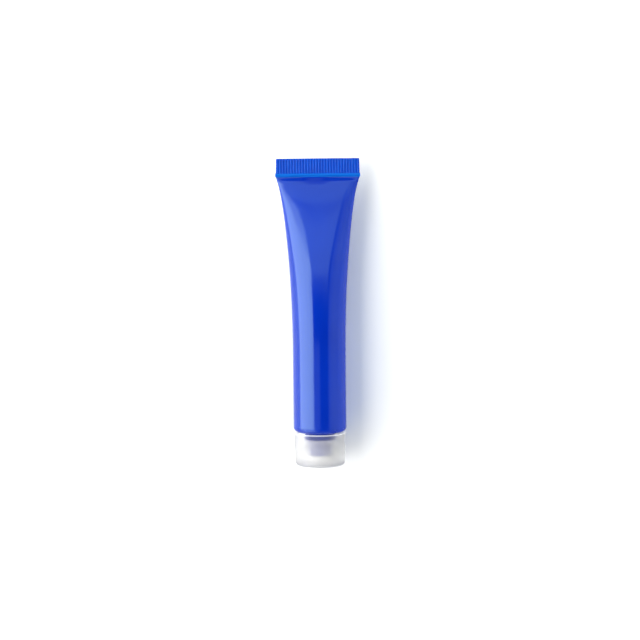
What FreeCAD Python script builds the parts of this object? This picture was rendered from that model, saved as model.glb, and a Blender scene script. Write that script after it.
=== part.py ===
import FreeCAD, Part
import math
import os

import Sketcher

# A squeeze tube of paint lying on its side: a blue plastic sleeve, round at the
# head and pressed flat at the crimped tail, a shoulder with a threaded neck, the
# paint inside, a screw cap and the sealing liner in the cap.
#
# Every body is drawn in one local frame: its Y axis is the tube's axis, and Y = 0
# is the closed end face of the cap. The placement then lifts the axis by half a
# tube diameter and centres the length, so that the origin is under the middle of
# the tube, on the surface it lies on. The tail points to +Y and the cap to -Y.

os.makedirs("parts", exist_ok=True)
doc = FreeCAD.newDocument("paint_tube")

# ---------------------------------------------------------------- dimensions
SIZES = [
    ("tube_diameter", 16.0),
    ("overall_length", 92.2),
    ("sleeve_wall", 0.45),
    # head
    ("sleeve_front", 11.45),
    ("shoulder_plane", 9.85),
    ("shoulder_fillet", 1.58),
    ("shoulder_wall", 1.30),
    ("skirt_length", 1.60),
    ("skirt_wall", 0.65),
    ("skirt_clearance", 0.03),
    ("collar_radius", 4.57),
    ("collar_top", 7.65),
    ("collar_fillet", 0.25),
    ("neck_radius", 3.10),
    ("neck_mouth", 2.85),
    ("mouth_chamfer", 0.22),
    ("orifice_radius", 1.45),
    # screw thread, single start, right hand
    ("thread_lead", 2.0),
    ("neck_thread_crest", 3.60),
    ("neck_thread_root", 2.95),
    ("neck_thread_start", 3.60),
    ("neck_thread_turns", 1.75),
    ("neck_thread_base_width", 1.10),
    ("neck_thread_crest_width", 0.60),
    ("cap_thread_crest", 3.25),
    ("cap_thread_root", 3.87),
    ("cap_thread_start", 4.60),
    ("cap_thread_turns", 1.15),
    ("cap_thread_base_width", 1.05),
    ("cap_thread_crest_width", 0.55),
    # cap
    ("cap_rim", 9.60),
    ("cap_rim_radius", 7.70),
    ("cap_end_radius", 7.40),
    ("cap_edge_fillet", 1.00),
    ("cap_rim_fillet", 0.20),
    ("cap_skirt_wall", 1.00),
    ("cap_top_wall", 1.50),
    ("cap_sleeve_radius", 4.47),
    ("cap_bore_radius", 3.72),
    ("cap_sleeve_rim", 7.50),
    ("cap_inside_fillet", 0.45),
    # liner
    ("liner_radius", 3.50),
    ("liner_front", 1.53),
    ("liner_back", 2.82),
    ("liner_chamfer", 0.12),
    # crimped tail
    ("tail_drop", 0.72),
    ("bead_centre", 87.20),
    ("bead_half_length", 0.62),
    ("bead_half_height", 0.66),
    ("bead_width", 25.76),
    ("bead_end_fillet", 0.42),
    ("crimp_front", 87.10),
    ("crimp_back", 92.20),
    ("crimp_front_width", 25.42),
    ("crimp_back_width", 25.12),
    ("crimp_thickness", 0.70),
    ("crimp_corner", 0.35),
    ("rib_front", 87.50),
    ("rib_back", 92.06),
    ("rib_count", 30),
    ("rib_pitch", 0.84),
    ("rib_base_width", 0.46),
    ("rib_crest_width", 0.26),
    ("rib_height", 0.14),
    # paint
    ("paint_clearance", 0.12),
    ("paint_plug_radius", 1.33),
    ("paint_plug_front", 3.30),
]

# The sleeve's cross-sections, from the shoulder to the crimp: station along the
# axis, half-width, half-thickness, the exponent of the superellipse, how far the
# section has sunk below the head's axis, and how much of it lies below the
# surface the tube rests on and is pressed flat. The girth is that of the round
# end all the way along, since it is one extruded sleeve that is only pressed
# flat. The soft sleeve, full of paint, lies on its underside as far as the
# middle of the tube, where its weight is.
STATIONS = [
    (11.45, 8.000, 8.000, 2.00, 0.000, 0.00),
    (15.00, 8.000, 8.000, 2.00, 0.030, 0.03),
    (18.60, 8.000, 8.000, 2.00, 0.070, 0.07),
    (22.20, 8.000, 8.000, 2.00, 0.110, 0.11),
    (25.80, 8.000, 8.000, 2.00, 0.130, 0.13),
    (29.40, 8.000, 8.000, 2.00, 0.142, 0.14),
    (33.00, 8.004, 7.996, 2.00, 0.154, 0.15),
    (36.40, 8.020, 7.980, 2.00, 0.172, 0.15),
    (39.80, 8.058, 7.942, 2.00, 0.208, 0.15),
    (43.20, 8.130, 7.870, 2.00, 0.268, 0.14),
    (46.90, 8.245, 7.750, 2.00, 0.355, 0.11),
    (50.50, 8.400, 7.590, 2.00, 0.450, 0.05),
    (54.10, 8.586, 7.390, 2.00, 0.540, 0.00),
    (57.70, 8.809, 7.140, 2.00, 0.610, 0.00),
    (61.30, 9.065, 6.760, 2.06, 0.660, 0.00),
    (64.90, 9.352, 6.290, 2.15, 0.692, 0.00),
    (68.50, 9.673, 5.770, 2.24, 0.710, 0.00),
    (72.10, 10.035, 5.180, 2.34, 0.720, 0.00),
    (75.70, 10.451, 4.530, 2.41, 0.720, 0.00),
    (79.30, 10.953, 3.820, 2.40, 0.720, 0.00),
    (81.80, 11.389, 3.160, 2.36, 0.720, 0.00),
    (83.20, 11.699, 2.640, 2.36, 0.720, 0.00),
    (84.20, 11.952, 2.130, 2.40, 0.720, 0.00),
    (85.00, 12.180, 1.640, 2.50, 0.720, 0.00),
    (85.60, 12.360, 1.230, 2.70, 0.720, 0.00),
    (86.10, 12.500, 0.900, 3.00, 0.720, 0.00),
    (86.60, 12.630, 0.660, 3.40, 0.720, 0.00),
    (87.20, 12.680, 0.560, 3.60, 0.720, 0.00),
]
WORDS = ("place", "width", "height", "roundness", "drop", "pressed")

sheet = doc.addObject("Spreadsheet::Sheet", "sizes")
row = 1
for word, number in SIZES:
    sheet.set("A%d" % row, word.replace("_", " "))
    sheet.set("B%d" % row, "%g" % number)
    sheet.setAlias("B%d" % row, word)
    row += 1
for index, values in enumerate(STATIONS, 1):
    for word, number in zip(WORDS, values):
        alias = "section_%d_%s" % (index, word)
        sheet.set("A%d" % row, alias.replace("_", " "))
        sheet.set("B%d" % row, "%g" % number)
        sheet.setAlias("B%d" % row, alias)
        row += 1
doc.recompute()


class Dim:
    """A size: its number, and the expression over the sheet that gives it."""

    def __init__(self, value, text):
        self.value, self.text = float(value), text

    @staticmethod
    def of(other):
        return other if isinstance(other, Dim) else Dim(other, "%g" % other)

    def __add__(self, other):
        other = Dim.of(other)
        return Dim(self.value + other.value, "(%s + %s)" % (self.text, other.text))

    def __sub__(self, other):
        other = Dim.of(other)
        return Dim(self.value - other.value, "(%s - %s)" % (self.text, other.text))

    def __mul__(self, other):
        other = Dim.of(other)
        return Dim(self.value * other.value, "(%s * %s)" % (self.text, other.text))

    def __truediv__(self, other):
        other = Dim.of(other)
        return Dim(self.value / other.value, "(%s / %s)" % (self.text, other.text))


def size(word):
    """A cell of the sheet by its alias."""
    return Dim(sheet.get(word), "sizes." + word)


ZERO = Dim(0, "0")


# ------------------------------------------------------------------- helpers
def new_body(label):
    """A body in the tube's own frame, placed on the ground and centred."""
    body = doc.addObject("PartDesign::Body", label)
    body.Label = label
    body.setExpression("Placement.Base.y", "-sizes.overall_length / 2")
    body.setExpression("Placement.Base.z", "sizes.tube_diameter / 2")
    doc.recompute()
    return body


def origin_plane(body, role):
    return [part for part in body.Origin.OriginFeatures if part.Role == role][0]


def new_sketch(body, name, role, offset=None, drop=None):
    """A sketch on one of the body's own origin planes, moved along its normal.

    A sketch square to the ground can also be lowered within its own plane.
    """
    sketch = body.newObject("Sketcher::SketchObject", name)
    sketch.AttachmentSupport = [(origin_plane(body, role), "")]
    sketch.MapMode = "FlatFace"
    if offset is not None:
        sketch.setExpression("AttachmentOffset.Base.z", offset.text)
    if drop is not None:
        sketch.setExpression("AttachmentOffset.Base.y", "-" + drop.text)
    doc.recompute()
    return sketch


def polygon(sketch, corners):
    """A closed outline through corners given as pairs of sizes, none negative.

    Each corner is held by its distances from the sketch's axes, and those are
    bound to the sheet; a corner at zero lies on the axis itself.
    """
    count = len(corners)
    spots = [FreeCAD.Vector(u.value, v.value, 0) for u, v in corners]
    for index in range(count):
        sketch.addGeometry(
            Part.LineSegment(spots[index], spots[(index + 1) % count]), False
        )
    for index in range(count):
        sketch.addConstraint(
            Sketcher.Constraint("Coincident", index, 2, (index + 1) % count, 1)
        )
    for index, (u, v) in enumerate(corners):
        for kind, amount, axis in (("DistanceX", u, -2), ("DistanceY", v, -1)):
            if abs(amount.value) < 1e-9:
                sketch.addConstraint(
                    Sketcher.Constraint("PointOnObject", index, 1, axis)
                )
            else:
                number = sketch.addConstraint(
                    Sketcher.Constraint(kind, -1, 1, index, 1, amount.value)
                )
                sketch.setExpression("Constraints[%d]" % number, amount.text)
    doc.recompute()
    return sketch


def revolve(body, name, corners, kind="PartDesign::Revolution"):
    """Turn an outline of (radius, place along the axis) about the tube's axis."""
    sketch = polygon(new_sketch(body, name + "_outline", "XY_Plane"), corners)
    turned = body.newObject(kind, name)
    turned.Profile = sketch
    turned.ReferenceAxis = (sketch, ["V_Axis"])
    turned.Angle = 360
    doc.recompute()
    return turned


def ring_edges(feature, radius, place):
    """Names of a feature's circular edges of one radius at one place."""
    names = []
    for index, edge in enumerate(feature.Shape.Edges, 1):
        curve = edge.Curve
        if isinstance(curve, Part.Circle):
            if (
                abs(curve.Radius - radius.value) < 1e-3
                and abs(curve.Center.y - place.value) < 1e-3
            ):
                names.append("Edge%d" % index)
    return names


def dress(body, kind, name, base, edges, amount, prop):
    """A fillet or chamfer on named edges, its size bound to the sheet."""
    if not edges:
        raise RuntimeError("no edge to dress for " + name)
    feature = body.newObject(kind, name)
    feature.Base = (base, edges)
    feature.setExpression(prop, amount.text)
    doc.recompute()
    return feature


def screw_ridge(body, name, root, crest, base_width, crest_width, start, turns):
    """A trapezoidal right-hand ridge wound about the tube's axis."""
    sketch = new_sketch(body, name + "_form", "XY_Plane")
    polygon(
        sketch,
        [
            (root, start - base_width / 2),
            (crest, start - crest_width / 2),
            (crest, start + crest_width / 2),
            (root, start + base_width / 2),
        ],
    )
    ridge = body.newObject("PartDesign::AdditiveHelix", name)
    ridge.Profile = sketch
    ridge.ReferenceAxis = (sketch, ["V_Axis"])
    ridge.Mode = 1
    ridge.LeftHanded = False
    ridge.setExpression("Pitch", "sizes.thread_lead")
    ridge.setExpression("Turns", turns.text)
    doc.recompute()
    return ridge


def band(sketch, front, front_width, back, back_width):
    """A closed outline with straight sides, centred across the tube."""
    corners = [
        (front_width.value / 2, front.value),
        (back_width.value / 2, back.value),
        (-back_width.value / 2, back.value),
        (-front_width.value / 2, front.value),
    ]
    spots = [FreeCAD.Vector(u, v, 0) for u, v in corners]
    for index in range(4):
        sketch.addGeometry(
            Part.LineSegment(spots[index], spots[(index + 1) % 4]), False
        )
    for index in range(4):
        sketch.addConstraint(
            Sketcher.Constraint("Coincident", index, 2, (index + 1) % 4, 1)
        )
    sketch.addConstraint(Sketcher.Constraint("Symmetric", 0, 1, 3, 1, -2))
    sketch.addConstraint(Sketcher.Constraint("Symmetric", 1, 1, 2, 1, -2))
    for kind, first, second, amount in (
        ("DistanceX", (2, 2), (0, 1), front_width),
        ("DistanceX", (1, 2), (0, 2), back_width),
        ("DistanceY", (-1, 1), (0, 1), front),
        ("DistanceY", (-1, 1), (0, 2), back),
    ):
        number = sketch.addConstraint(
            Sketcher.Constraint(
                kind, first[0], first[1], second[0], second[1], amount.value
            )
        )
        sketch.setExpression("Constraints[%d]" % number, amount.text)
    doc.recompute()
    return sketch


def section_points(width, height, power, quarter=14):
    """Points round a superellipse, spaced by arc length and by turn together.

    The same share of points falls in each quarter of every section, so that
    neighbouring sections join without a twist.
    """
    dense = []
    steps = 720
    for index in range(steps + 1):
        angle = math.pi / 2 * index / steps
        cosine, sine = max(math.cos(angle), 0.0), max(math.sin(angle), 0.0)
        dense.append((width * cosine ** (2 / power), height * sine ** (2 / power)))
    weights = [0.0]
    length = 0.0
    for (u0, v0), (u1, v1) in zip(dense, dense[1:]):
        length += math.hypot(u1 - u0, v1 - v0)
    heading = math.pi / 2
    for (u0, v0), (u1, v1) in zip(dense, dense[1:]):
        turn = math.atan2(v1 - v0, u1 - u0)
        weights.append(
            weights[-1]
            + 0.5 * math.hypot(u1 - u0, v1 - v0) / length
            + 0.5 * abs(turn - heading) / (math.pi / 2)
        )
        heading = turn
    total = weights[-1]
    first = []
    place = 0
    for index in range(quarter):
        wanted = total * index / quarter
        while weights[place + 1] < wanted:
            place += 1
        share = (wanted - weights[place]) / (weights[place + 1] - weights[place])
        (u0, v0), (u1, v1) = dense[place], dense[place + 1]
        first.append((u0 + share * (u1 - u0), v0 + share * (v1 - v0)))
    around = list(first)
    around.append((0.0, height))
    around += [(-u, v) for u, v in reversed(first[1:])]
    around += [(-u, -v) for u, v in first]
    around.append((0.0, -height))
    around += [(u, -v) for u, v in reversed(first[1:])]
    return around


def section_sketch(body, name, place, width, height, power, drop, pressed=0.0):
    """One closed cross-section of the sleeve, square to the tube's axis.

    Where the sleeve lies on its underside, the lowest part of the section is
    pressed up by a stated amount into a flat, with a soft change to the round.
    """
    sketch = new_sketch(body, name, "XZ_Plane", ZERO - place, drop)
    points = []
    for u, v in section_points(width, height, power):
        if pressed > 0.01 and v < 0:
            ease = pressed / 5
            above = (v + height - pressed) / ease
            if above < 30:
                v = pressed - height + ease * math.log(1 + math.exp(above))
        points.append(FreeCAD.Vector(u, v, 0))
    curve = Part.BSplineCurve()
    curve.interpolate(
        Points=points,
        PeriodicFlag=True,
        Parameters=[float(index) for index in range(len(points) + 1)],
    )
    sketch.addGeometry(curve, False)
    return sketch


def station(index):
    """The sizes of one section of the sleeve, by number, in the order of WORDS."""
    return [size("section_%d_%s" % (index, word)) for word in WORDS]


def loft(body, name, kind, sketches):
    feature = body.newObject(kind, name)
    feature.Profile = sketches[0]
    feature.Sections = sketches[1:]
    feature.Ruled = False
    feature.Closed = False
    doc.recompute()
    return feature


# ---------------------------------------------------------------- tube sleeve
# One extruded sleeve: round where the head is welded in, flat at the tail.
sleeve = new_body("tube_sleeve")
wall = size("sleeve_wall")
tail_drop = size("tail_drop")

# The bead: the smooth roll of plastic that the jaws push up ahead of the ribs.
bead_sketch = new_sketch(sleeve, "bead_form", "YZ_Plane", None, tail_drop)
centre = FreeCAD.Vector(size("bead_centre").value, 0, 0)
bead_sketch.addGeometry(
    Part.Ellipse(
        centre + FreeCAD.Vector(0, size("bead_half_height").value, 0),
        centre + FreeCAD.Vector(size("bead_half_length").value, 0, 0),
        centre,
    ),
    False,
)
doc.recompute()
bead = sleeve.newObject("PartDesign::Pad", "bead")
bead.Profile = bead_sketch
bead.Midplane = True
bead.setExpression("Length", "sizes.bead_width")
doc.recompute()
half_bead = size("bead_width").value / 2
bead_edges = [
    "Edge%d" % index
    for index, edge in enumerate(bead.Shape.Edges, 1)
    if edge.Length > 1.0
    and all(abs(abs(v.Point.x) - half_bead) < 1e-3 for v in edge.Vertexes)
]
dress(
    sleeve,
    "PartDesign::Fillet",
    "bead_ends",
    bead,
    bead_edges,
    size("bead_end_fillet"),
    "Radius",
)

# The sleeve itself, lofted through its sections outside and inside.
outer, inner = [], []
for index in range(1, len(STATIONS) + 1):
    place, width, height, power, drop, pressed = station(index)
    outer.append(
        section_sketch(
            sleeve,
            "sleeve_outside_%d" % index,
            place,
            width.value,
            height.value,
            power.value,
            drop,
            pressed.value,
        )
    )
loft(sleeve, "sleeve_outside", "PartDesign::AdditiveLoft", outer)
outside_volume = sleeve.Shape.Volume

# Inside, the wall keeps its thickness over the flat as well.
for index in range(1, len(STATIONS)):
    place, width, height, power, drop, pressed = station(index)
    inner.append(
        section_sketch(
            sleeve,
            "sleeve_inside_%d" % index,
            place,
            (width - wall).value,
            (height - wall - pressed / 2).value,
            power.value,
            drop - pressed / 2,
        )
    )
hollow = loft(sleeve, "sleeve_inside", "PartDesign::SubtractiveLoft", inner)
if not hollow.Shape.Volume < 0.5 * outside_volume:
    raise RuntimeError("the sleeve is not hollow")

# The crimp: the two walls welded flat, between heated ribbed jaws.
half_back = size("crimp_back_width") / 2
crimp_sketch = band(
    new_sketch(sleeve, "crimp_outline", "XY_Plane", ZERO - tail_drop),
    size("crimp_front"),
    size("crimp_front_width"),
    size("crimp_back"),
    size("crimp_back_width"),
)
crimp = sleeve.newObject("PartDesign::Pad", "crimp")
crimp.Profile = crimp_sketch
crimp.Midplane = True
crimp.setExpression("Length", "sizes.crimp_thickness")
doc.recompute()
corner_edges = [
    "Edge%d" % index
    for index, edge in enumerate(crimp.Shape.Edges, 1)
    if abs(edge.Length - size("crimp_thickness").value) < 1e-3
    and all(
        abs(v.Point.y - size("crimp_back").value) < 1e-3
        and abs(abs(v.Point.x) - half_back.value) < 1e-3
        for v in edge.Vertexes
    )
]
crimp_round = dress(
    sleeve,
    "PartDesign::Fillet",
    "crimp_corners",
    crimp,
    corner_edges,
    size("crimp_corner"),
    "Radius",
)

# The ribs the jaws leave on both faces of the crimp, along the tube.
pitch = size("rib_pitch")
rib_base = size("rib_base_width") / 2
rib_crest = size("rib_crest_width") / 2
rib_low = size("crimp_thickness") / 2
rib_high = rib_low + size("rib_height")
shift = pitch * (size("rib_count") - 1) / 2
rib_sketch = new_sketch(
    sleeve, "rib_form", "XZ_Plane", ZERO - size("rib_front"), tail_drop
)
rib_corners = [
    (shift + rib_base, rib_low, -1),
    (shift + rib_crest, rib_high, -1),
    (shift - rib_crest, rib_high, -1),
    (shift - rib_base, rib_low, -1),
    (shift - rib_base, rib_low, 1),
    (shift - rib_crest, rib_high, 1),
    (shift + rib_crest, rib_high, 1),
    (shift + rib_base, rib_low, 1),
]
spots = [FreeCAD.Vector(u.value, -side * v.value, 0) for u, v, side in rib_corners]
for index in range(8):
    rib_sketch.addGeometry(
        Part.LineSegment(spots[index], spots[(index + 1) % 8]), False
    )
for index in range(8):
    rib_sketch.addConstraint(
        Sketcher.Constraint("Coincident", index, 2, (index + 1) % 8, 1)
    )
for index, (u, v, side) in enumerate(rib_corners[:4]):
    rib_sketch.addConstraint(
        Sketcher.Constraint("Symmetric", index, 1, 7 - index, 1, -1)
    )
    number = rib_sketch.addConstraint(
        Sketcher.Constraint("DistanceX", -1, 1, index, 1, u.value)
    )
    rib_sketch.setExpression("Constraints[%d]" % number, u.text)
    number = rib_sketch.addConstraint(
        Sketcher.Constraint("DistanceY", -1, 1, index, 1, v.value)
    )
    rib_sketch.setExpression("Constraints[%d]" % number, v.text)
doc.recompute()
rib = sleeve.newObject("PartDesign::Pad", "rib")
rib.Profile = rib_sketch
rib.Reversed = True
rib.setExpression("Length", "sizes.rib_back - sizes.rib_front")
doc.recompute()
ribs = sleeve.newObject("PartDesign::LinearPattern", "ribs")
ribs.Originals = [rib]
ribs.Direction = (rib_sketch, ["H_Axis"])
ribs.Reversed = True
ribs.setExpression("Length", "sizes.rib_pitch * (sizes.rib_count - 1)")
ribs.setExpression("Occurrences", "sizes.rib_count")
sleeve.Tip = ribs
doc.recompute()

# ------------------------------------------------------------------ tube head
# The moulded head: skirt welded into the sleeve, shoulder, collar and neck.
head = new_body("tube_head")
sleeve_inside = size("tube_diameter") / 2 - wall
skirt_radius = sleeve_inside - size("skirt_clearance")
head_outline = [
    (size("orifice_radius"), size("neck_mouth")),
    (size("neck_radius"), size("neck_mouth")),
    (size("neck_radius"), size("collar_top")),
    (size("collar_radius"), size("collar_top")),
    (size("collar_radius"), size("shoulder_plane")),
    (size("tube_diameter") / 2, size("shoulder_plane")),
    (size("tube_diameter") / 2, size("sleeve_front")),
    (skirt_radius, size("sleeve_front")),
    (skirt_radius, size("sleeve_front") + size("skirt_length")),
    (
        skirt_radius - size("skirt_wall"),
        size("sleeve_front") + size("skirt_length"),
    ),
    (
        skirt_radius - size("skirt_wall"),
        size("shoulder_plane") + size("shoulder_wall") + size("skirt_wall"),
    ),
    (
        skirt_radius - size("skirt_wall") * 2,
        size("shoulder_plane") + size("shoulder_wall"),
    ),
    (size("orifice_radius"), size("shoulder_plane") + size("shoulder_wall")),
]
head_turned = revolve(head, "head_turned", head_outline)
head_shoulder = dress(
    head,
    "PartDesign::Fillet",
    "shoulder_round",
    head_turned,
    ring_edges(head_turned, size("tube_diameter") / 2, size("shoulder_plane")),
    size("shoulder_fillet"),
    "Radius",
)
head_collar = dress(
    head,
    "PartDesign::Fillet",
    "collar_round",
    head_shoulder,
    ring_edges(head_shoulder, size("collar_radius"), size("collar_top"))
    + ring_edges(head_shoulder, size("collar_radius"), size("shoulder_plane")),
    size("collar_fillet"),
    "Radius",
)
head_mouth = dress(
    head,
    "PartDesign::Chamfer",
    "mouth_bevel",
    head_collar,
    ring_edges(head_collar, size("neck_radius"), size("neck_mouth")),
    size("mouth_chamfer"),
    "Size",
)
screw_ridge(
    head,
    "neck_thread",
    size("neck_thread_root"),
    size("neck_thread_crest"),
    size("neck_thread_base_width"),
    size("neck_thread_crest_width"),
    size("neck_thread_start"),
    size("neck_thread_turns"),
)

# ------------------------------------------------------------------ screw cap
# The cap: smooth tapered skirt, closed end, and the threaded sleeve inside.
cap = new_body("screw_cap")
taper = (size("cap_rim_radius") - size("cap_end_radius")) / size("cap_rim")
cap_outline = [
    (ZERO, ZERO),
    (size("cap_end_radius"), ZERO),
    (size("cap_rim_radius"), size("cap_rim")),
    (size("cap_rim_radius") - size("cap_skirt_wall"), size("cap_rim")),
    (
        size("cap_end_radius") - size("cap_skirt_wall") + taper * size("cap_top_wall"),
        size("cap_top_wall"),
    ),
    (size("cap_sleeve_radius"), size("cap_top_wall")),
    (size("cap_sleeve_radius"), size("cap_sleeve_rim")),
    (size("cap_bore_radius"), size("cap_sleeve_rim")),
    (size("cap_bore_radius"), size("cap_top_wall")),
    (ZERO, size("cap_top_wall")),
]
cap_turned = revolve(cap, "cap_turned", cap_outline)
cap_edge = dress(
    cap,
    "PartDesign::Fillet",
    "cap_end_round",
    cap_turned,
    ring_edges(cap_turned, size("cap_end_radius"), ZERO),
    size("cap_edge_fillet"),
    "Radius",
)
cap_rim = dress(
    cap,
    "PartDesign::Fillet",
    "cap_rim_round",
    cap_edge,
    ring_edges(cap_edge, size("cap_rim_radius"), size("cap_rim")),
    size("cap_rim_fillet"),
    "Radius",
)
cap_inside = dress(
    cap,
    "PartDesign::Fillet",
    "cap_inside_round",
    cap_rim,
    ring_edges(cap_rim, size("cap_sleeve_radius"), size("cap_top_wall"))
    + ring_edges(
        cap_rim,
        size("cap_end_radius") - size("cap_skirt_wall") + taper * size("cap_top_wall"),
        size("cap_top_wall"),
    ),
    size("cap_inside_fillet"),
    "Radius",
)
screw_ridge(
    cap,
    "cap_thread",
    size("cap_thread_root"),
    size("cap_thread_crest"),
    size("cap_thread_base_width"),
    size("cap_thread_crest_width"),
    size("cap_thread_start"),
    size("cap_thread_turns"),
)

# ------------------------------------------------------------------ cap liner
# The foam disc in the cap's end that seals on the neck's mouth.
liner = new_body("cap_liner")
liner_turned = revolve(
    liner,
    "liner_turned",
    [
        (ZERO, size("liner_front")),
        (size("liner_radius"), size("liner_front")),
        (size("liner_radius"), size("liner_back")),
        (ZERO, size("liner_back")),
    ],
)
dress(
    liner,
    "PartDesign::Chamfer",
    "liner_edges",
    liner_turned,
    ring_edges(liner_turned, size("liner_radius"), size("liner_front"))
    + ring_edges(liner_turned, size("liner_radius"), size("liner_back")),
    size("liner_chamfer"),
    "Size",
)

# ---------------------------------------------------------------------- paint
# The paint fills the head, the neck's bore and the sleeve, up to the crimp.
paint = new_body("paint_fill")
gap = size("paint_clearance")
paint_sections = []
skirt_end = size("sleeve_front") + size("skirt_length")
paint_sections.append(
    section_sketch(
        paint,
        "paint_section_front",
        skirt_end + gap,
        (sleeve_inside - gap).value,
        (sleeve_inside - gap).value,
        2.0,
        ZERO,
    )
)
for index in range(2, len(STATIONS) - 5):
    place, width, height, power, drop, pressed = station(index)
    paint_sections.append(
        section_sketch(
            paint,
            "paint_section_%d" % index,
            place,
            (width - wall - gap).value,
            (height - wall - gap - pressed / 2).value,
            power.value,
            drop - pressed / 2,
        )
    )
loft(paint, "paint_main", "PartDesign::AdditiveLoft", paint_sections)
shoulder_inside = size("shoulder_plane") + size("shoulder_wall")
revolve(
    paint,
    "paint_front",
    [
        (ZERO, size("paint_plug_front")),
        (size("paint_plug_radius"), size("paint_plug_front")),
        (size("paint_plug_radius"), shoulder_inside + gap),
        (skirt_radius - size("skirt_wall") * 2 - gap, shoulder_inside + gap),
        (
            skirt_radius - size("skirt_wall") - gap,
            shoulder_inside + size("skirt_wall") + gap,
        ),
        (skirt_radius - size("skirt_wall") - gap, skirt_end + gap * 4),
        (ZERO, skirt_end + gap * 4),
    ],
)

# ------------------------------------------------------------ check and write
doc.recompute()
for thing in doc.Objects:
    for word in ("Invalid", "Error"):
        if word in thing.State:
            raise RuntimeError("%s is %s" % (thing.Name, thing.State))
for body in (sleeve, head, paint, cap, liner):
    shape = body.Shape
    if shape.isNull() or not shape.isValid():
        raise RuntimeError("%s has no valid shape" % body.Label)
    if len(shape.Solids) != 1:
        raise RuntimeError("%s is %d solids" % (body.Label, len(shape.Solids)))
    box = shape.optimalBoundingBox(False)
    print(
        "%-12s volume %9.2f  x %.2f..%.2f  y %.2f..%.2f  z %.2f..%.2f"
        % (
            body.Label,
            shape.Volume,
            box.XMin,
            box.XMax,
            box.YMin,
            box.YMax,
            box.ZMin,
            box.ZMax,
        )
    )
for body in (sleeve, head, paint, cap, liner):
    body.Shape.exportStep("parts/%s.step" % body.Label)
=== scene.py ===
import math

import bpy
import numpy as np
from mathutils import Matrix, Vector


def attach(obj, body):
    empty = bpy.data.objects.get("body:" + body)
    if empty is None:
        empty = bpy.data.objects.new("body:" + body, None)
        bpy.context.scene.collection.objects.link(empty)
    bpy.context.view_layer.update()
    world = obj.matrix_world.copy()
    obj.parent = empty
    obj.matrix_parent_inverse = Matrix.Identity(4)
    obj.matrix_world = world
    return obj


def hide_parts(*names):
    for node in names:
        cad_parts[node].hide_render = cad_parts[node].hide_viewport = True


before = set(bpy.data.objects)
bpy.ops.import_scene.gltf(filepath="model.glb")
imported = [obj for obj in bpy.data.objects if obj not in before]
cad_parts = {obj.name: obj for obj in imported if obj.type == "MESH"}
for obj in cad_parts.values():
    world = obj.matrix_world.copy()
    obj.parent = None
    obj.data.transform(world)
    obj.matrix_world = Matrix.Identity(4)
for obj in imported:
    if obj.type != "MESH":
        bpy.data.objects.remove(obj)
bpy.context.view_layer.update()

# A squeeze tube of blue paint with a frosted screw cap, lying on a white floor.
# The sleeve is rebuilt here as one fine closed mesh over the CAD sections, with
# the crimp's rounded ribs, its bead and the small hollows a filled tube has.
# Lengths inside the mesh code are in millimetres, and s is the distance from the
# cap's end face along the tube.

MM = 0.001
HALF = 46.1
AXIS = 8.0

scene = bpy.context.scene
collection = scene.collection

# ------------------------------------------------------------ sleeve sections
# s, half-width, half-thickness, superellipse exponent, drop, pressed flat
STATIONS = np.array([
    (11.45, 8.000, 8.000, 2.00, 0.000, 0.00),
    (15.00, 8.000, 8.000, 2.00, 0.030, 0.03),
    (18.60, 8.000, 8.000, 2.00, 0.070, 0.07),
    (22.20, 8.000, 8.000, 2.00, 0.110, 0.11),
    (25.80, 8.000, 8.000, 2.00, 0.130, 0.13),
    (29.40, 8.000, 8.000, 2.00, 0.142, 0.14),
    (33.00, 8.004, 7.996, 2.00, 0.154, 0.15),
    (36.40, 8.020, 7.980, 2.00, 0.172, 0.15),
    (39.80, 8.058, 7.942, 2.00, 0.208, 0.15),
    (43.20, 8.130, 7.870, 2.00, 0.268, 0.14),
    (46.90, 8.245, 7.750, 2.00, 0.355, 0.11),
    (50.50, 8.400, 7.590, 2.00, 0.450, 0.05),
    (54.10, 8.586, 7.390, 2.00, 0.540, 0.00),
    (57.70, 8.809, 7.140, 2.00, 0.610, 0.00),
    (61.30, 9.065, 6.760, 2.06, 0.660, 0.00),
    (64.90, 9.352, 6.290, 2.15, 0.692, 0.00),
    (68.50, 9.673, 5.770, 2.24, 0.710, 0.00),
    (72.10, 10.035, 5.180, 2.34, 0.720, 0.00),
    (75.70, 10.451, 4.530, 2.41, 0.720, 0.00),
    (79.30, 10.953, 3.820, 2.40, 0.720, 0.00),
    (81.80, 11.389, 3.160, 2.36, 0.720, 0.00),
    (83.20, 11.699, 2.640, 2.36, 0.720, 0.00),
    (84.20, 11.952, 2.130, 2.40, 0.720, 0.00),
    (85.00, 12.180, 1.640, 2.50, 0.720, 0.00),
    (85.60, 12.360, 1.230, 2.70, 0.720, 0.00),
    (86.10, 12.500, 0.900, 3.00, 0.720, 0.00),
    (86.60, 12.630, 0.660, 3.40, 0.720, 0.00),
    (87.20, 12.680, 0.560, 3.60, 0.720, 0.00),
])
WALL = 0.45
BEAD_S, BEAD_LENGTH, BEAD_HEIGHT, BEAD_WIDTH = 87.20, 0.62, 0.66, 12.88
CRIMP_FRONT, CRIMP_BACK = 87.10, 92.20
CRIMP_WIDE, CRIMP_NARROW, CRIMP_HALF, CRIMP_CORNER = 12.71, 12.56, 0.35, 0.35
RIB_PITCH, RIB_HEIGHT, RIB_FRONT, RIB_BACK = 0.84, 0.14, 87.50, 92.06
RIBS_A_SIDE, PER_RIB, EDGE = 15, 8, 6
QUARTER = RIBS_A_SIDE * PER_RIB + EDGE


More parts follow.
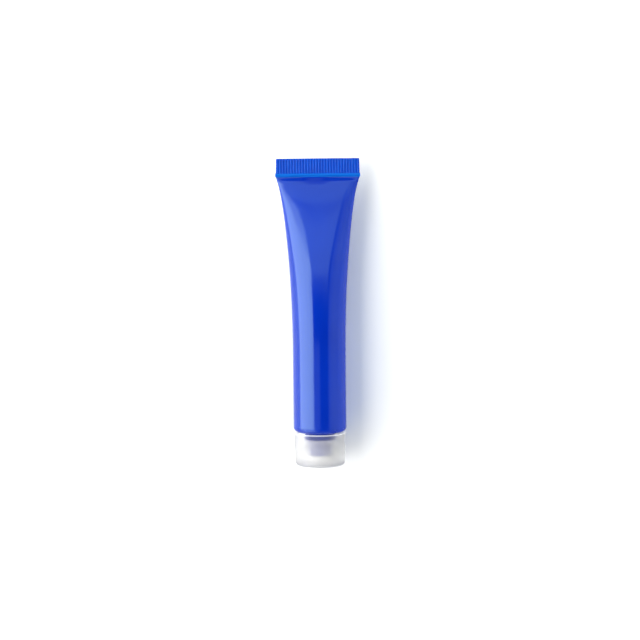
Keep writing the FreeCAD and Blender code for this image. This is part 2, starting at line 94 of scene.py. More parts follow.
def spline(xs, ys):
    """A natural cubic spline through the points, as a function."""
    xs, ys = np.asarray(xs, float), np.asarray(ys, float)
    h = np.diff(xs)
    n = len(xs)
    a = np.zeros((n, n))
    b = np.zeros(n)
    a[0, 0] = a[-1, -1] = 1
    for i in range(1, n - 1):
        a[i, i - 1], a[i, i], a[i, i + 1] = h[i - 1], 2 * (h[i - 1] + h[i]), h[i]
        b[i] = 6 * ((ys[i + 1] - ys[i]) / h[i] - (ys[i] - ys[i - 1]) / h[i - 1])
    m = np.linalg.solve(a, b)

    def value(x):
        x = np.clip(np.asarray(x, float), xs[0], xs[-1])
        i = np.clip(np.searchsorted(xs, x) - 1, 0, n - 2)
        t0, t1 = xs[i + 1] - x, x - xs[i]
        return (
            m[i] * t0**3 / (6 * h[i])
            + m[i + 1] * t1**3 / (6 * h[i])
            + (ys[i] / h[i] - m[i] * h[i] / 6) * t0
            + (ys[i + 1] / h[i] - m[i + 1] * h[i] / 6) * t1
        )

    return value


half_width, half_height, exponent, sink, flat = [
    spline(STATIONS[:, 0], STATIONS[:, k]) for k in range(1, 6)
]


def ease(x, low, high):
    t = np.clip((np.asarray(x, float) - low) / (high - low), 0, 1)
    return t * t * (3 - 2 * t)


def waves(seed, count, longest, shortest):
    """Seeded smooth noise over (around, along), both in millimetres."""
    rng = np.random.default_rng(seed)
    parts = []
    for _ in range(count):
        length = math.exp(rng.uniform(math.log(shortest), math.log(longest)))
        turn = rng.uniform(0, 2 * math.pi)
        parts.append((
            2 * math.pi / length * math.cos(turn),
            2 * math.pi / length * math.sin(turn) * 0.6,
            rng.uniform(0, 2 * math.pi),
            length / longest,
        ))
    total = math.sqrt(sum(p[3] ** 2 for p in parts) / 2)

    def value(u, s):
        return sum(w * np.sin(kx * u + ks * s + p) for kx, ks, p, w in parts) / total

    return value


# Columns: from the side (0) to the top or bottom middle (QUARTER). The first few
# go round the crimp's edge, and the rest are PER_RIB to each rib.
edge_arc = np.linspace(0, 0.45, EDGE + 1)
RIB_STEPS = np.array([0.0, 0.17, 0.23, 0.30, 0.42, 0.54, 0.61, 0.67])
FACE_X = RIB_PITCH * RIBS_A_SIDE - np.concatenate(
    [k * RIB_PITCH + RIB_STEPS for k in range(RIBS_A_SIDE)] + [[RIBS_A_SIDE * RIB_PITCH]]
)
face_arc = 0.45 + FACE_X[0] - FACE_X[1:]
SHARE = np.concatenate([edge_arc, face_arc])
SHARE = SHARE / SHARE[-1]


def quadrant(a, b, n):
    """A superellipse's quadrant, its columns spaced by arc length."""
    angle = np.linspace(0, math.pi / 2, 900)
    x = a * np.maximum(np.cos(angle), 0) ** (2 / n)
    z = b * np.maximum(np.sin(angle), 0) ** (2 / n)
    length = np.concatenate([[0], np.cumsum(np.hypot(np.diff(x), np.diff(z)))])
    wanted = SHARE * length[-1]
    return np.interp(wanted, length, x), np.interp(wanted, length, z)


def crimp_width(s):
    width = CRIMP_WIDE + (CRIMP_NARROW - CRIMP_WIDE) * np.clip(
        (s - CRIMP_FRONT) / (CRIMP_BACK - CRIMP_FRONT), 0, 1
    )
    over = max(0.0, s - (CRIMP_BACK - CRIMP_CORNER))
    return width - CRIMP_CORNER + math.sqrt(max(CRIMP_CORNER**2 - over**2, 0))


rib_noise = np.random.default_rng(11).normal(0, 1, (2, 2 * RIBS_A_SIDE, 3))


def crimp_quadrant(s, side, face):
    """The crimp's section from its edge to its middle: band, bead and ribs."""
    toward = (s - BEAD_S) / BEAD_LENGTH
    roll = math.sqrt(max(1 - toward * toward, 0.0))
    width = crimp_width(s) + (BEAD_WIDTH - CRIMP_WIDE) * roll**0.7
    thick = CRIMP_HALF
    end = CRIMP_BACK - s
    if end < 0.16:
        thick *= math.sqrt(max(1 - ((0.16 - end) / 0.16) ** 2, 0.0)) * 0.9 + 0.1
    corner = min(0.2, thick * 0.8) + 0.18 * roll
    x = np.empty(QUARTER + 1)
    z = np.full(QUARTER + 1, thick)
    x[0], z[0] = width, 0.0
    turn = np.linspace(0, math.pi / 2, EDGE)
    top = max(thick, BEAD_HEIGHT * roll)
    corner = min(corner, top)
    x[1 : EDGE + 1] = width - corner * (1 - np.cos(turn))
    z[1 : EDGE + 1] = top - corner * (1 - np.sin(turn))
    x[EDGE:] = FACE_X
    start = width - corner
    fixed = EDGE + PER_RIB // 2
    x[EDGE : fixed + 1] = np.linspace(start, FACE_X[PER_RIB // 2], PER_RIB // 2 + 1)
    if start < FACE_X[PER_RIB // 2]:
        x[EDGE:] = start * FACE_X / FACE_X[0]
    # rounded ribs, each a little different in height and in where it ends
    place = np.concatenate([np.tile(RIB_STEPS, RIBS_A_SIDE), [0.0]])
    which = np.minimum(np.arange(RIBS_A_SIDE * PER_RIB + 1) // PER_RIB, RIBS_A_SIDE - 1)
    noise = rib_noise[face, which + (RIBS_A_SIDE if side else 0)]
    off = np.abs(place - RIB_PITCH / 2)
    bump = 1 - ease(off, 0.10, 0.27)
    rise = ease(s, RIB_FRONT, RIB_FRONT + 0.3) * (
        1 - ease(s, RIB_BACK - 0.30 + 0.03 * noise[:, 1], RIB_BACK + 0.02)
    )
    height = RIB_HEIGHT * (1 + 0.05 * noise[:, 0]) * bump * rise
    ribbed = z[EDGE:] * 0 + thick + height
    if roll > 0:
        bead = BEAD_HEIGHT * roll
        soft = 0.035
        top_line = soft * np.logaddexp(ribbed / soft, bead / soft)
        ribbed = np.minimum(top_line, np.maximum(ribbed, bead) + 0.02)
    z[EDGE:] = ribbed
    blend = np.linspace(0, 1, 3)
    for k in range(1, 3):
        z[EDGE - 3 + k] = z[EDGE - 3 + k] * (1 - 0.3 * blend[k]) + z[EDGE] * 0.3 * blend[k]
    return x, z


body_waves = waves(3, 26, 34.0, 7.0)
bead_waves = waves(5, 12, 9.0, 2.2)


# How the sleeve comes down to the bead to the left and right of its middle: it
# stays full, then drops steeply into a crease at the bead's foot.
lobe_height = spline(
    (82.6, 83.2, 83.8, 84.4, 84.9, 85.25, 85.5, 85.75, 86.0, 86.2, 86.4, 86.6, 86.9, 87.2),
    (2.415, 2.190, 2.010, 1.840, 1.680, 1.500, 1.270, 0.960, 0.650, 0.470, 0.385, 0.365, 0.360, 0.360),
)


def lobes(x, face):
    """How much of a lobe there is at a place across the tube."""
    left = np.exp(-np.abs((x + 7.9) / 3.6) ** 3.0)
    right = np.exp(-np.abs((x - 7.0) / 4.3) ** 3.4)
    return np.clip(left + right, 0, 1) * (1.0 if face == 0 else 0.85)


def ring(s, inside=False):
    """One closed section of the sleeve, counted from +X over the top to -X and back."""
    place = min(max(s, STATIONS[0, 0]), STATIONS[-1, 0])
    a, b, n = half_width(place), half_height(place), exponent(place)
    drop, press = sink(place), max(float(flat(place)), 0.0)
    if inside:
        a, b = a - WALL, max(b - WALL - press / 2, 0.0)
        drop = drop - press / 2
    quads = []
    mix = 0.0 if inside else float(ease(s, 86.15, 86.95))
    for face, side in ((0, 0), (0, 1), (1, 1), (1, 0)):
        x, z = quadrant(a, b, n)
        if s > 82.6:
            # the lobes' profile is drawn where a section is 7.6 mm off its middle
            at = half_height(place) * max(
                1 - (7.6 / half_width(place)) ** exponent(place), 0.0
            ) ** (1 / exponent(place))
            change = float(lobe_height(s) - at) * float(ease(s, 82.6, 83.6))
            amount = lobes(-x if side else x, face) * ease(z / max(b, 1e-6), 0.0, 0.7)
            z = np.maximum(z + change * amount, 0.01 if inside else 0.05)
            z[0] = 0.0
        if mix > 0:
            cx, cz = crimp_quadrant(s, side, face)
            x, z = x * (1 - mix) + cx * mix, z * (1 - mix) + cz * mix
        if face == 1 and press > 0.01:
            soft = press / 5
            above = (-z + b - press) / soft
            low = above < 30
            z = np.where(
                low,
                -(press - b + soft * np.log1p(np.exp(np.minimum(above, 30)))),
                z,
            )
        quads.append((x, z))
    (x0, z0), (x1, z1), (x2, z2), (x3, z3) = quads
    xs = np.concatenate([x0, -x1[::-1][1:], -x2[1:], x3[::-1][1:-1]])
    zs = np.concatenate([z0, z1[::-1][1:], -z2[1:], -z3[::-1][1:-1]])
    if not inside:
        around = np.arange(len(xs)) / len(xs)
        out = np.stack([xs, zs], 1)
        size = np.linalg.norm(out, axis=1, keepdims=True)
        calm = float(ease(s, 14, 26) * (1 - ease(s, 80, 86)))
        swell = 0.022 * calm * sum(
            body_waves(50.0 * around + 50.0 * k, s) * (1 - abs(2 * around - 1)) ** 0
            for k in (0,)
        )
        seam = ease(np.minimum(around, 1 - around), 0.0, 0.03)
        step = out / np.maximum(size, 1e-6) * (swell * seam)[:, None]
        step[zs < -0.85 * b] *= 0.2
        xs, zs = xs + step[:, 0], zs + step[:, 1]
        if s > 86.3:
            near = ease(s, 86.3, 86.8) * (1 - ease(s, 87.6, 88.1))
            zs = zs * (1 + 0.045 * near * bead_waves(xs, 0 * xs + 3.0) * (np.abs(xs) < 12.4))
        if s > 87.6:
            zs = zs + 0.036 * (s - 87.6)
        if s > 86.8:
            bow = 0.04 * float(ease(s, 87.5, 92.2))
            zs = zs + bow * (np.sin(xs * 0.21 + 0.6) + 0.5 * np.sin(xs * 0.47 + 2.0)) * (
                ease(12.7 - np.abs(xs), 0, 2)
            )
    return xs, zs - drop


def places(*spans):
    """Stations along the tube, from spans of (start, end, step)."""
    out = []
    for start, end, step in spans:
        count = max(1, int(round((end - start) / step)))
        out += list(start + (end - start) * np.arange(count) / count)
    out.append(spans[-1][1])
    return out


def mesh_object(name, vertices, faces, sharp=40):
    data = bpy.data.meshes.new(name)
    data.from_pydata([tuple(v) for v in vertices], [], faces)
    data.validate()
    data.update()
    for polygon in data.polygons:
        polygon.use_smooth = True
    data.set_sharp_from_angle(angle=math.radians(sharp))
    thing = bpy.data.objects.new(name, data)
    collection.objects.link(thing)
    return thing


def sleeve_mesh():
    outer = places(
        (11.45, 14.0, 0.64), (14.0, 60.0, 0.96), (60.0, 80.0, 0.72), (80.0, 84.0, 0.34),
        (84.0, 86.1, 0.15), (86.1, 87.0, 0.09), (87.0, 88.1, 0.08),
        (88.1, 91.5, 0.57), (91.5, 92.0, 0.10), (92.0, 92.2, 0.034),
    )
    inner = places((11.45, 80.0, 2.2), (80.0, 84.0, 0.8), (84.0, 86.9, 0.3))
    vertices, faces = [], []
    count = None
    rows = []
    for s in outer:
        xs, zs = ring(s)
        count = len(xs)
        if s == outer[-1]:
            zs = zs * 0 + np.mean(zs) + (zs - np.mean(zs)) * 0
        rows.append(len(vertices))
        vertices += [(x * MM, (s - HALF) * MM, (z + AXIS) * MM) for x, z in zip(xs, zs)]
    turn = len(rows)
    for s in inner:
        xs, zs = ring(s, inside=True)
        if s == inner[-1]:
            zs = zs * 0 + np.mean(zs)
        rows.append(len(vertices))
        vertices += [(x * MM, (s - HALF) * MM, (z + AXIS) * MM) for x, z in zip(xs, zs)]
    for k in range(len(rows) - 1):
        if k == turn - 1:
            continue
        a, b = rows[k], rows[k + 1]
        for j in range(count):
            j1 = (j + 1) % count
            if k < turn:
                faces.append((a + j, a + j1, b + j1, b + j))
            else:
                faces.append((a + j, b + j, b + j1, a + j1))
    a, b = rows[0], rows[turn]
    for j in range(count):
        j1 = (j + 1) % count
        faces.append((a + j, b + j, b + j1, a + j1))
    # The tail's last row and the inside's last row are folded shut on their middle line.
    fold = {}
    for base in (rows[turn - 1], rows[-1]):
        for j in range(count):
            mirror = (count - j) % count
            if mirror > j:
                fold[base + mirror] = base + j
    vertices = np.array(vertices)
    for other, kept in fold.items():
        middle = (vertices[other] + vertices[kept]) / 2
        vertices[kept] = middle
    keep = [i for i in range(len(vertices)) if i not in fold]
    number = {old: new for new, old in enumerate(keep)}
    for other, kept in fold.items():
        number[other] = number[kept]
    cleaned = []
    for face in faces:
        loop = []
        for i in face:
            if number[i] not in loop:
                loop.append(number[i])
        if len(loop) > 2:
            cleaned.append(tuple(reversed(loop)))
    return mesh_object("sleeve_skin", vertices[keep], cleaned, 55)


# ------------------------------------------------------------------ materials
def material(name):
    made = bpy.data.materials.new(name)
    made.use_nodes = True
    made.node_tree.nodes.clear()
    return made, Nodes(made.node_tree)


class Nodes:
    """A short way to write a node tree."""

    def __init__(self, tree):
        self.tree = tree

    def add(self, kind, **values):
        node = self.tree.nodes.new(kind)
        for key, value in values.items():
            setattr(node, key, value)
        return node

    def join(self, source, target):
        self.tree.links.new(source, target)

    def noise(self, vector, scale, detail=2.0, rough=0.5, distort=0.0):
        node = self.add("ShaderNodeTexNoise")
        node.inputs["Scale"].default_value = scale
        node.inputs["Detail"].default_value = detail
        node.inputs["Roughness"].default_value = rough
        node.inputs["Distortion"].default_value = distort
        self.join(vector, node.inputs["Vector"])
        return node.outputs["Fac"]

    def stretch(self, vector, scale):
        node = self.add("ShaderNodeMapping")
        node.inputs["Scale"].default_value = scale
        self.join(vector, node.inputs["Vector"])
        return node.outputs["Vector"]

    def span(self, value, low, high, to_low, to_high, smooth=False):
        node = self.add("ShaderNodeMapRange")
        if smooth:
            node.interpolation_type = "SMOOTHSTEP"
        node.inputs["From Min"].default_value = low
        node.inputs["From Max"].default_value = high
        node.inputs["To Min"].default_value = to_low
        node.inputs["To Max"].default_value = to_high
        self.join(value, node.inputs["Value"])
        return node.outputs["Result"]

    def maths(self, operation, one, two=None):
        node = self.add("ShaderNodeMath", operation=operation)
        for socket, value in zip(node.inputs, (one, two)):
            if value is None:
                continue
            if isinstance(value, (int, float)):
                socket.default_value = value
            else:
                self.join(value, socket)
        return node.outputs["Value"]

    def colour(self, factor, one, two):
        node = self.add("ShaderNodeMix", data_type="RGBA")
        if isinstance(factor, (int, float)):
            node.inputs["Factor"].default_value = factor
        else:
            self.join(factor, node.inputs["Factor"])
        for socket, value in ((node.inputs["A"], one), (node.inputs["B"], two)):
            sockets = [s for s in node.inputs if s.name == socket.name and s.type == "RGBA"]
            if isinstance(value, (tuple, list)):
                sockets[0].default_value = (*value, 1)
            else:
                self.join(value, sockets[0])
        return [s for s in node.outputs if s.type == "RGBA"][0]

    def bump(self, height, distance, strength=1.0, under=None):
        node = self.add("ShaderNodeBump")
        node.inputs["Distance"].default_value = distance
        node.inputs["Strength"].default_value = strength
        self.join(height, node.inputs["Height"])
        if under is not None:
            self.join(under, node.inputs["Normal"])
        return node.outputs["Normal"]

    def place(self):
        return self.add("ShaderNodeTexCoord").outputs["Object"]


def split(nodes, vector):
    node = nodes.add("ShaderNodeSeparateXYZ")
    nodes.join(vector, node.inputs["Vector"])
    return node.outputs


def sleeve_blue(name, welded):
    """Glossy over the body; the welded tail is thinner, lighter and less shiny, with painted highlights on
    its rib crests, painted shade in its valleys and a painted glow along its bead.
    """
    made, n = material(name)
    out = n.add("ShaderNodeOutputMaterial")
    shader = n.add("ShaderNodeBsdfPrincipled")
    where = n.place()
    parts = split(n, where)
    cloud = n.noise(where, 60.0, 3.0)
    deep = n.colour(
        n.span(cloud, 0.3, 0.7, 0.0, 1.0), (0.0003, 0.0174, 0.292), (0.0007, 0.0216, 0.330)
    )
    if welded:
        patch = n.noise(n.stretch(where, (1.0, 0.35, 1.0)), 520.0, 3.0)
        azure = n.colour(
            n.span(patch, 0.3, 0.7, 0.0, 1.0), (0.0004, 0.037, 0.36), (0.0016, 0.051, 0.42)
        )
        # painted light: the rib crests are painted paler as a highlight and the valleys darker as shade
        turns = n.maths("MULTIPLY", parts["X"], 2 * math.pi / (RIB_PITCH * MM))
        painted_rib_light = n.maths("MULTIPLY", n.maths("COSINE", turns), -1.0)
        painted_rib_light = n.span(painted_rib_light, -0.2, 0.9, 0.0, 1.0, True)
        painted_rib_light = n.maths("MULTIPLY", painted_rib_light, n.span(patch, 0.3, 0.7, 0.45, 1.0))
        azure = n.colour(n.span(painted_rib_light, 0.0, 1.0, 0.55, 0.0), azure, (0.0003, 0.028, 0.31))
        azure = n.colour(n.maths("MULTIPLY", painted_rib_light, 0.6), azure, (0.0040, 0.078, 0.50))
        # painted light: a brighter azure line along the bead stands in for light shining through the thin
        # plastic there
        bead = n.span(parts["Y"], 0.0413, 0.0417, 1.0, 0.0, True)
        colour = n.colour(bead, azure, (0.0016, 0.098, 0.46))
        base_rough, spread = 0.14, 0.06
    else:
        near = n.span(parts["Y"], 0.0330, 0.0400, 0.0, 0.5, True)
        colour = n.colour(near, deep, (0.0003, 0.0180, 0.285))
        base_rough, spread = 0.105, 0.06
    n.join(colour, shader.inputs["Base Color"])
    smear = n.noise(n.stretch(where, (1.0, 0.45, 1.0)), 95.0, 4.0, 0.6, 0.6)
    fine = n.noise(where, 1500.0, 2.0)
    rough = n.maths(
        "ADD",
        n.span(smear, 0.35, 0.7, base_rough, base_rough + spread),
        n.span(fine, 0.3, 0.7, -0.012, 0.012),
    )
    n.join(rough, shader.inputs["Roughness"])
    drawn = n.noise(n.stretch(where, (1.0, 0.06, 1.0)), 900.0, 2.0)
    peel = n.noise(where, 620.0, 2.0)
    normal = n.bump(peel, 0.000010, 0.35)
    normal = n.bump(drawn, 0.000006, 0.30, normal)
    normal = n.bump(fine, 0.000004, 0.25, normal)
    n.join(normal, shader.inputs["Normal"])
    shader.inputs["IOR"].default_value = 1.5
    # the blue gloss coat leaves a blue cast on what it mirrors
    shader.inputs["Specular Tint"].default_value = (0.66, 0.97, 1.0, 1)
    shader.inputs["Specular IOR Level"].default_value = 0.20 if welded else 0.71
    n.join(shader.outputs["BSDF"], out.inputs["Surface"])
    return made


def head_blue():
    made, n = material("head_blue_finish")
    out = n.add("ShaderNodeOutputMaterial")
    shader = n.add("ShaderNodeBsdfPrincipled")
    where = n.place()
    cloud = n.noise(where, 160.0, 3.0)
    colour = n.colour(n.span(cloud, 0.3, 0.7, 0.0, 1.0), (0.0006, 0.0165, 0.290), (0.0012, 0.0210, 0.330))
    n.join(colour, shader.inputs["Base Color"])
    spot = n.noise(where, 900.0, 3.0)
    n.join(n.span(spot, 0.3, 0.7, 0.20, 0.28), shader.inputs["Roughness"])
    n.join(n.bump(n.noise(where, 2400.0, 2.0), 0.000006, 0.4), shader.inputs["Normal"])
    shader.inputs["IOR"].default_value = 1.5
    shader.inputs["Specular Tint"].default_value = (0.66, 0.97, 1.0, 1)
    shader.inputs["Specular IOR Level"].default_value = 0.40
    n.join(shader.outputs["BSDF"], out.inputs["Surface"])
    return made


def cap_frost():
    """Milky polypropylene: it lets light through and blurs it; its rims carry a painted highlight, its inner
    sleeve painted light and its closed end painted shade.
    """
    made, n = material("cap_frost_finish")
    out = n.add("ShaderNodeOutputMaterial")
    shader = n.add("ShaderNodeBsdfPrincipled")
    where = n.place()
    parts = split(n, where)
    x2 = n.maths("MULTIPLY", parts["X"], parts["X"])
    z = n.maths("SUBTRACT", parts["Z"], 0.008)
    radius = n.maths("SQRT", n.maths("ADD", x2, n.maths("MULTIPLY", z, z)))
    # the threaded sleeve inside is thicker and milkier than the skirt; its colour is also painted lighter,
    # as painted light against the shade inside the cap
    skirt = n.span(radius, 0.0046, 0.0052, 0.0, 1.0, True)
    skirt_rim = n.span(parts["Y"], -0.03688, -0.03660, 0.0, 1.0, True)
    inner = n.maths("SUBTRACT", 1.0, skirt)
    sleeve_rim = n.maths("MULTIPLY", n.span(parts["Y"], -0.03890, -0.03868, 0.0, 1.0, True), inner)
    rim_painted_highlight = n.maths("MAXIMUM", skirt_rim, sleeve_rim)
    cloud = n.noise(where, 140.0, 3.0)
    colour = n.colour(
        n.span(cloud, 0.3, 0.7, 0.0, 1.0), (0.825, 0.822, 0.815), (0.858, 0.854, 0.847)
    )
    # faint draw lines along the mould
    drawn = n.noise(n.stretch(where, (1.0, 0.05, 1.0)), 1400.0, 2.0)
    colour = n.colour(n.span(drawn, 0.35, 0.75, 0.0, 0.5), colour, (0.90, 0.90, 0.895))
    # painted light: the inner sleeve is whitened to make up for the shade it sits in inside the cap
    colour = n.colour(inner, colour, (0.925, 0.925, 0.925))
    # painted shade: the cap's closed end is darkened toward its end face
    end_wall_painted_shade = n.span(parts["Y"], -0.0446, -0.0456, 0.0, 0.8, True)
    colour = n.colour(end_wall_painted_shade, colour, (0.58, 0.58, 0.60))
    # painted highlight: the skirt's rim and the inner sleeve's rim are painted near-white as bright lines
    colour = n.colour(rim_painted_highlight, colour, (0.96, 0.955, 0.95))
    n.join(colour, shader.inputs["Base Color"])
    grain = n.noise(where, 5200.0, 2.0)
    mist = n.noise(where, 700.0, 3.0)
    n.join(n.maths("ADD", n.span(mist, 0.3, 0.7, 0.40, 0.48), n.maths("MULTIPLY", inner, -0.08)), shader.inputs["Roughness"])
    n.join(n.bump(grain, 0.000005, 0.3), shader.inputs["Normal"])
    shader.inputs["IOR"].default_value = 1.16
    passes = n.span(skirt, 0.0, 1.0, 0.84, 0.97)
    passes = n.maths("MULTIPLY", passes, n.span(rim_painted_highlight, 0.0, 1.0, 1.0, 0.62))
    n.join(passes, shader.inputs["Transmission Weight"])
    clear = n.add("ShaderNodeBsdfTransparent")
    clear.inputs["Color"].default_value = (0.89, 0.89, 0.89, 1)
    path = n.add("ShaderNodeLightPath")
    mix = n.add("ShaderNodeMixShader")
    n.join(path.outputs["Is Shadow Ray"], mix.inputs["Fac"])
    n.join(shader.outputs["BSDF"], mix.inputs[1])
    n.join(clear.outputs["BSDF"], mix.inputs[2])
    n.join(mix.outputs["Shader"], out.inputs["Surface"])
    return made


def liner_foam():
    made, n = material("liner_foam_finish")
    out = n.add("ShaderNodeOutputMaterial")
    shader = n.add("ShaderNodeBsdfPrincipled")
    where = n.place()
    cell = n.add("ShaderNodeTexVoronoi")
    cell.inputs["Scale"].default_value = 6500.0
    n.join(where, cell.inputs["Vector"])
    cells = cell.outputs["Distance"]
    colour = n.colour(n.span(cells, 0.0, 0.7, 0.0, 1.0), (0.80, 0.80, 0.79), (0.90, 0.90, 0.895))
    n.join(colour, shader.inputs["Base Color"])
    n.join(n.span(n.noise(where, 1500.0), 0.3, 0.7, 0.60, 0.78), shader.inputs["Roughness"])
    n.join(n.bump(cells, 0.00004, 0.6), shader.inputs["Normal"])
    n.join(shader.outputs["BSDF"], out.inputs["Surface"])
    return made


def paint_blue():
    made, n = material("paint_blue_finish")
    out = n.add("ShaderNodeOutputMaterial")
    shader = n.add("ShaderNodeBsdfPrincipled")
    where = n.place()
    swirl = n.noise(n.stretch(where, (1.0, 0.4, 1.0)), 260.0, 4.0, 0.6, 1.4)
    colour = n.colour(n.span(swirl, 0.3, 0.7, 0.0, 1.0), (0.004, 0.022, 0.30), (0.006, 0.034, 0.38))
    n.join(colour, shader.inputs["Base Color"])
    n.join(n.span(swirl, 0.3, 0.7, 0.10, 0.22), shader.inputs["Roughness"])
    n.join(n.bump(swirl, 0.00005, 0.4), shader.inputs["Normal"])
    n.join(shader.outputs["BSDF"], out.inputs["Surface"])
    return made


FINISH = {
    "tube_head": head_blue(),
    "screw_cap": cap_frost(),
    "cap_liner": liner_foam(),
    "paint_fill": paint_blue(),
}
for name, finish in FINISH.items():
    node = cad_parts[name]
    if not node.material_slots:
        node.data.materials.append(finish)
    for place_ in node.material_slots:
        place_.material = finish

sleeve = sleeve_mesh()
sleeve.data.materials.append(sleeve_blue("sleeve_blue_finish", False))
sleeve.data.materials.append(sleeve_blue("sleeve_weld_finish", True))
for polygon in sleeve.data.polygons:
    if polygon.center.y > (86.52 - HALF) * MM:
        polygon.material_index = 1
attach(sleeve, "tube")
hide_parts("tube_sleeve")

# ---------------------------------------------------------------------- stage
def panel_object(name, corners, finish=None):
    data = bpy.data.meshes.new(name)
    data.from_pydata(corners, [], [tuple(range(len(corners)))])
    data.update()
    thing = bpy.data.objects.new(name, data)
    collection.objects.link(thing)
    if finish:
        data.materials.append(finish)
    return thing


floor_finish, n = material("floor_white")
out = n.add("ShaderNodeOutputMaterial")
shader = n.add("ShaderNodeBsdfPrincipled")
# the sweep stays as white far away as it is under the lights
parts = split(n, n.place())
far_off = n.maths(
    "SQRT",
    n.maths(
        "ADD",
        n.maths("MULTIPLY", parts["X"], parts["X"]),
        n.maths("MULTIPLY", parts["Y"], parts["Y"]),
    ),
)
shader.inputs["Base Color"].default_value = (0.97, 0.97, 0.97, 1)
shader.inputs["Roughness"].default_value = 0.85
shader.inputs["Specular IOR Level"].default_value = 0.2
shader.inputs["Emission Color"].default_value = (1, 1, 1, 1)
n.join(n.span(far_off, 0.25, 0.9, 0.0, 1.0, True), shader.inputs["Emission Strength"])
n.join(shader.outputs["BSDF"], out.inputs["Surface"])
floor = panel_object("floor", [(-4, -4, 0), (4, -4, 0), (4, 4, 0), (-4, 4, 0)], floor_finish)

black, n = material("card_black")
out = n.add("ShaderNodeOutputMaterial")
shader = n.add("ShaderNodeBsdfDiffuse")
shader.inputs["Color"].default_value = (0.0, 0.0, 0.0, 1)
n.join(shader.outputs["BSDF"], out.inputs["Surface"])


def toward(angle, height):
    """Where a direction that far from straight up, in degrees, meets that height."""
    return math.tan(math.radians(angle)) * (height - 0.012)


def glossy_only(thing):
    """A black card that darkens only what a shiny surface mirrors."""
    thing.visible_camera = False
    thing.visible_diffuse = False
    thing.visible_transmission = False
    thing.visible_shadow = False
    thing.visible_volume_scatter = False


H = 0.52
split_y = -0.012
card = panel_object(
    "overhead_card",
    [
        (toward(1.5, H), toward(-45, H), H),
        (toward(38.9, H), toward(-45, H), H),
        (toward(38.9, H), toward(12, H), H),
        (toward(-24.8, H), toward(12, H), H),
        (toward(-24.8, H), split_y, H),
        (toward(1.5, H), split_y, H),
    ],
    black,
)
glossy_only(card)
arm = panel_object(
    "overhead_arm",
    [
        (toward(35.5, H), toward(12, H), H),
        (toward(39.5, H), toward(12, H), H),
        (toward(41.0, H), toward(58, H), H),
        (toward(36.5, H), toward(58, H), H),
    ],
    black,
)
glossy_only(arm)
low_card = panel_object(
    "tail_card",
    [(-0.3, 0.105, 0.0), (0.3, 0.105, 0.0), (0.3, 0.105, 0.020), (-0.3, 0.105, 0.020)],
    black,
)
glossy_only(low_card)

for side, start, end, shade in (("right", 0.012, 0.70, 0.55), ("left", -0.0125, -0.60, 0.20)):
    grey, n = material("card_grey_" + side)
    out = n.add("ShaderNodeOutputMaterial")
    clear = n.add("ShaderNodeBsdfTransparent")
    dark = n.add("ShaderNodeBsdfDiffuse")
    dark.inputs["Color"].default_value = (0.0, 0.0, 0.0, 1)
    mix = n.add("ShaderNodeMixShader")
    mix.inputs["Fac"].default_value = shade
    n.join(clear.outputs["BSDF"], mix.inputs[1])
    n.join(dark.outputs["BSDF"], mix.inputs[2])
    n.join(mix.outputs["Shader"], out.inputs["Surface"])
    flag = panel_object(
        "floor_flag_" + side,
        [(start, -0.30, 0.0008), (end, -0.30, 0.0008), (end, 0.30, 0.0008), (start, 0.30, 0.0008)],
        grey,
    )
    glossy_only(flag)


def softbox(name, centre, target, width, height, radiance, colour=(1, 1, 1), glossy=True, diffuse=True):
    """An area light of that radiance, facing target."""
    lamp = bpy.data.lights.new(name, "AREA")
    lamp.shape = "RECTANGLE"
    lamp.size, lamp.size_y = width, height
    lamp.energy = 4.0 * width * height * radiance
    lamp.color = colour
    thing = bpy.data.objects.new(name, lamp)
    collection.objects.link(thing)
    place = Vector(centre)
    back = (place - Vector(target)).normalized()
    up = Vector((0, 1, 0)) if abs(back.y) < 0.9 else Vector((0, 0, 1))
    side = up.cross(back).normalized()
    up = back.cross(side)
    turn = Matrix((side, up, back)).transposed().to_4x4()
    turn.translation = place
    thing.matrix_world = turn
    thing.visible_camera = False
    thing.visible_glossy = glossy
    thing.visible_diffuse = diffuse
    # the frosted cap passes what lies under it, not the glare of the lamps
    thing.visible_transmission = False
    return thing


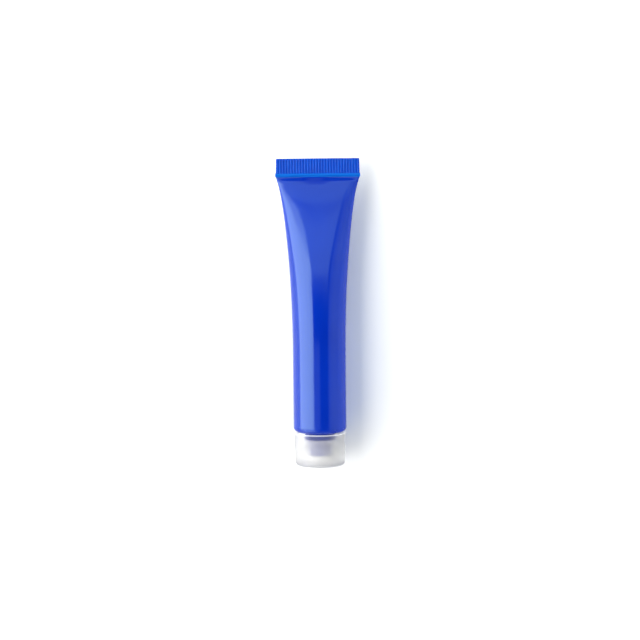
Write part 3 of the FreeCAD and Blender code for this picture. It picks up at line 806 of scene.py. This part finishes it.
# The big softbox on the left leans over the tube: its near edge is 24.6 degrees
# from straight up and its far edge is at the floor. It is a little weaker near
# the top, as a softbox is toward its edge.
near, far = Vector((-toward(24.6, 0.46), 0, 0.46)), Vector((-0.62, 0, -0.02))
slope = far - near
facing = Vector((-slope.z, 0, slope.x)).normalized()
if facing.x < 0:
    facing = -facing
BOX_FRONT, BOX_MIDDLE, BOX_TAIL, BOX_SOFT = -0.85, -0.40, 0.16, 0.07
for number, (start, end, radiance) in enumerate(
    ((0.0, 0.14, 2.50), (0.14, 0.36, 3.05), (0.36, 1.0, 3.30)), 1
):
    middle = near + slope * (start + end) / 2 + Vector((0, (BOX_MIDDLE + BOX_TAIL) / 2, 0))
    softbox(
        "softbox_left_%d" % number,
        middle,
        middle + facing,
        slope.length * (end - start),
        BOX_TAIL - BOX_MIDDLE,
        radiance,
    )
    # its near end is gridded, so it shows in the gloss but lights nothing else
    middle = near + slope * (start + end) / 2 + Vector((0, (BOX_FRONT + BOX_MIDDLE) / 2, 0))
    softbox(
        "softbox_front_%d" % number,
        middle,
        middle + facing,
        slope.length * (end - start),
        BOX_MIDDLE - BOX_FRONT,
        radiance,
        diffuse=False,
    )
    # its tail edge falls off over a hand's width
    middle = near + slope * (start + end) / 2 + Vector((0, BOX_TAIL + BOX_SOFT / 2, 0))
    softbox(
        "softbox_edge_%d" % number,
        middle,
        middle + facing,
        slope.length * (end - start),
        BOX_SOFT,
        radiance * 0.55,
    )
    # its far part lights the scene but is screened from what the tube mirrors
    middle = near + slope * (start + end) / 2 + Vector((0, (0.85 + BOX_TAIL + BOX_SOFT) / 2, 0))
    softbox(
        "softbox_back_%d" % number,
        middle,
        middle + facing,
        slope.length * (end - start),
        0.85 - BOX_TAIL - BOX_SOFT,
        radiance * 1.05,
        glossy=False,
    )
# A weaker white card beyond the tail, and a soft fill from the right that only
# lightens the shaded side.
softbox("card_tail", (0.0, 0.50, 0.42), (0, 0.04, 0.01), 1.1, 0.42, 0.47, (0.92, 1.14, 1.0))
softbox("card_tail_high", (0.0, 0.19, 0.47), (0, 0, 0.01), 0.62, 0.14, 0.44, (1.0, 1.18, 1.0), diffuse=False)
softbox("fill_right", (0.62, 0.0, 0.22), (0.0, 0.0, 0.01), 0.40, 1.2, 1.7, glossy=False)

# A small kicker only for the tube's shaded side.
kick = softbox("kicker_right", (0.34, 0.0, 0.16), (0.0, 0.0, 0.01), 0.20, 0.9, 2.2, glossy=False)
kick_on = bpy.data.collections.new("kicker_tube")
kick_on.objects.link(sleeve)
kick_on.objects.link(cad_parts["tube_head"])
kick_on.objects.link(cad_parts["screw_cap"])
kick.light_linking.receiver_collection = kick_on
kick.data.use_shadow = False

# The blue light that a translucent tube lets down onto what it lies on.
glow_on = bpy.data.collections.new("glow_floor")
glow_on.objects.link(floor)
glow = bpy.data.lights.new("tube_glow", "AREA")
glow.shape = "RECTANGLE"
glow.size, glow.size_y = 0.013, 0.066
glow.energy = 4.0 * glow.size * glow.size_y * 0.9
glow.color = (0.04, 0.34, 1.0)
glow_object = bpy.data.objects.new("tube_glow", glow)
collection.objects.link(glow_object)
glow_object.location = (0.002, 0.000, 0.009)
glow_object.visible_camera = False
glow_object.visible_glossy = False
glow_object.light_linking.receiver_collection = glow_on
glow.use_shadow = False

world = bpy.data.worlds.new("studio")
scene.world = world
world.use_nodes = True
tree = world.node_tree
tree.nodes.clear()
n = Nodes(tree)
out = n.add("ShaderNodeOutputWorld")
path = n.add("ShaderNodeLightPath")
lit = n.add("ShaderNodeBackground")
lit.inputs["Color"].default_value = (1.0, 1.0, 1.0, 1)
lit.inputs["Strength"].default_value = 0.30
mirrored = n.add("ShaderNodeBackground")
mirrored.inputs["Color"].default_value = (1.0, 1.0, 1.0, 1)
mirrored.inputs["Strength"].default_value = 0.42
seen = n.add("ShaderNodeBackground")
seen.inputs["Color"].default_value = (1, 1, 1, 1)
seen.inputs["Strength"].default_value = 1.0
shiny = n.add("ShaderNodeMixShader")
n.join(path.outputs["Is Glossy Ray"], shiny.inputs["Fac"])
n.join(lit.outputs["Background"], shiny.inputs[1])
n.join(mirrored.outputs["Background"], shiny.inputs[2])
mix = n.add("ShaderNodeMixShader")
n.join(path.outputs["Is Camera Ray"], mix.inputs["Fac"])
n.join(shiny.outputs["Shader"], mix.inputs[1])
n.join(seen.outputs["Background"], mix.inputs[2])
n.join(mix.outputs["Shader"], out.inputs["Surface"])

scene.view_settings.view_transform = "Standard"
scene.view_settings.look = "None"
scene.view_settings.exposure = 0.0
scene.view_settings.gamma = 1.0

# --------------------------------------------------------------------- camera
camera = bpy.data.cameras.new("camera")
camera.lens = 45.0
camera.sensor_width = 36.0
camera.clip_start, camera.clip_end = 0.01, 20.0
eye = bpy.data.objects.new("camera", camera)
collection.objects.link(eye)
eye.location = (0.00030, -0.0027, 0.249)
eye.rotation_euler = (0.0, 0.0, math.radians(-0.53))
scene.camera = eye
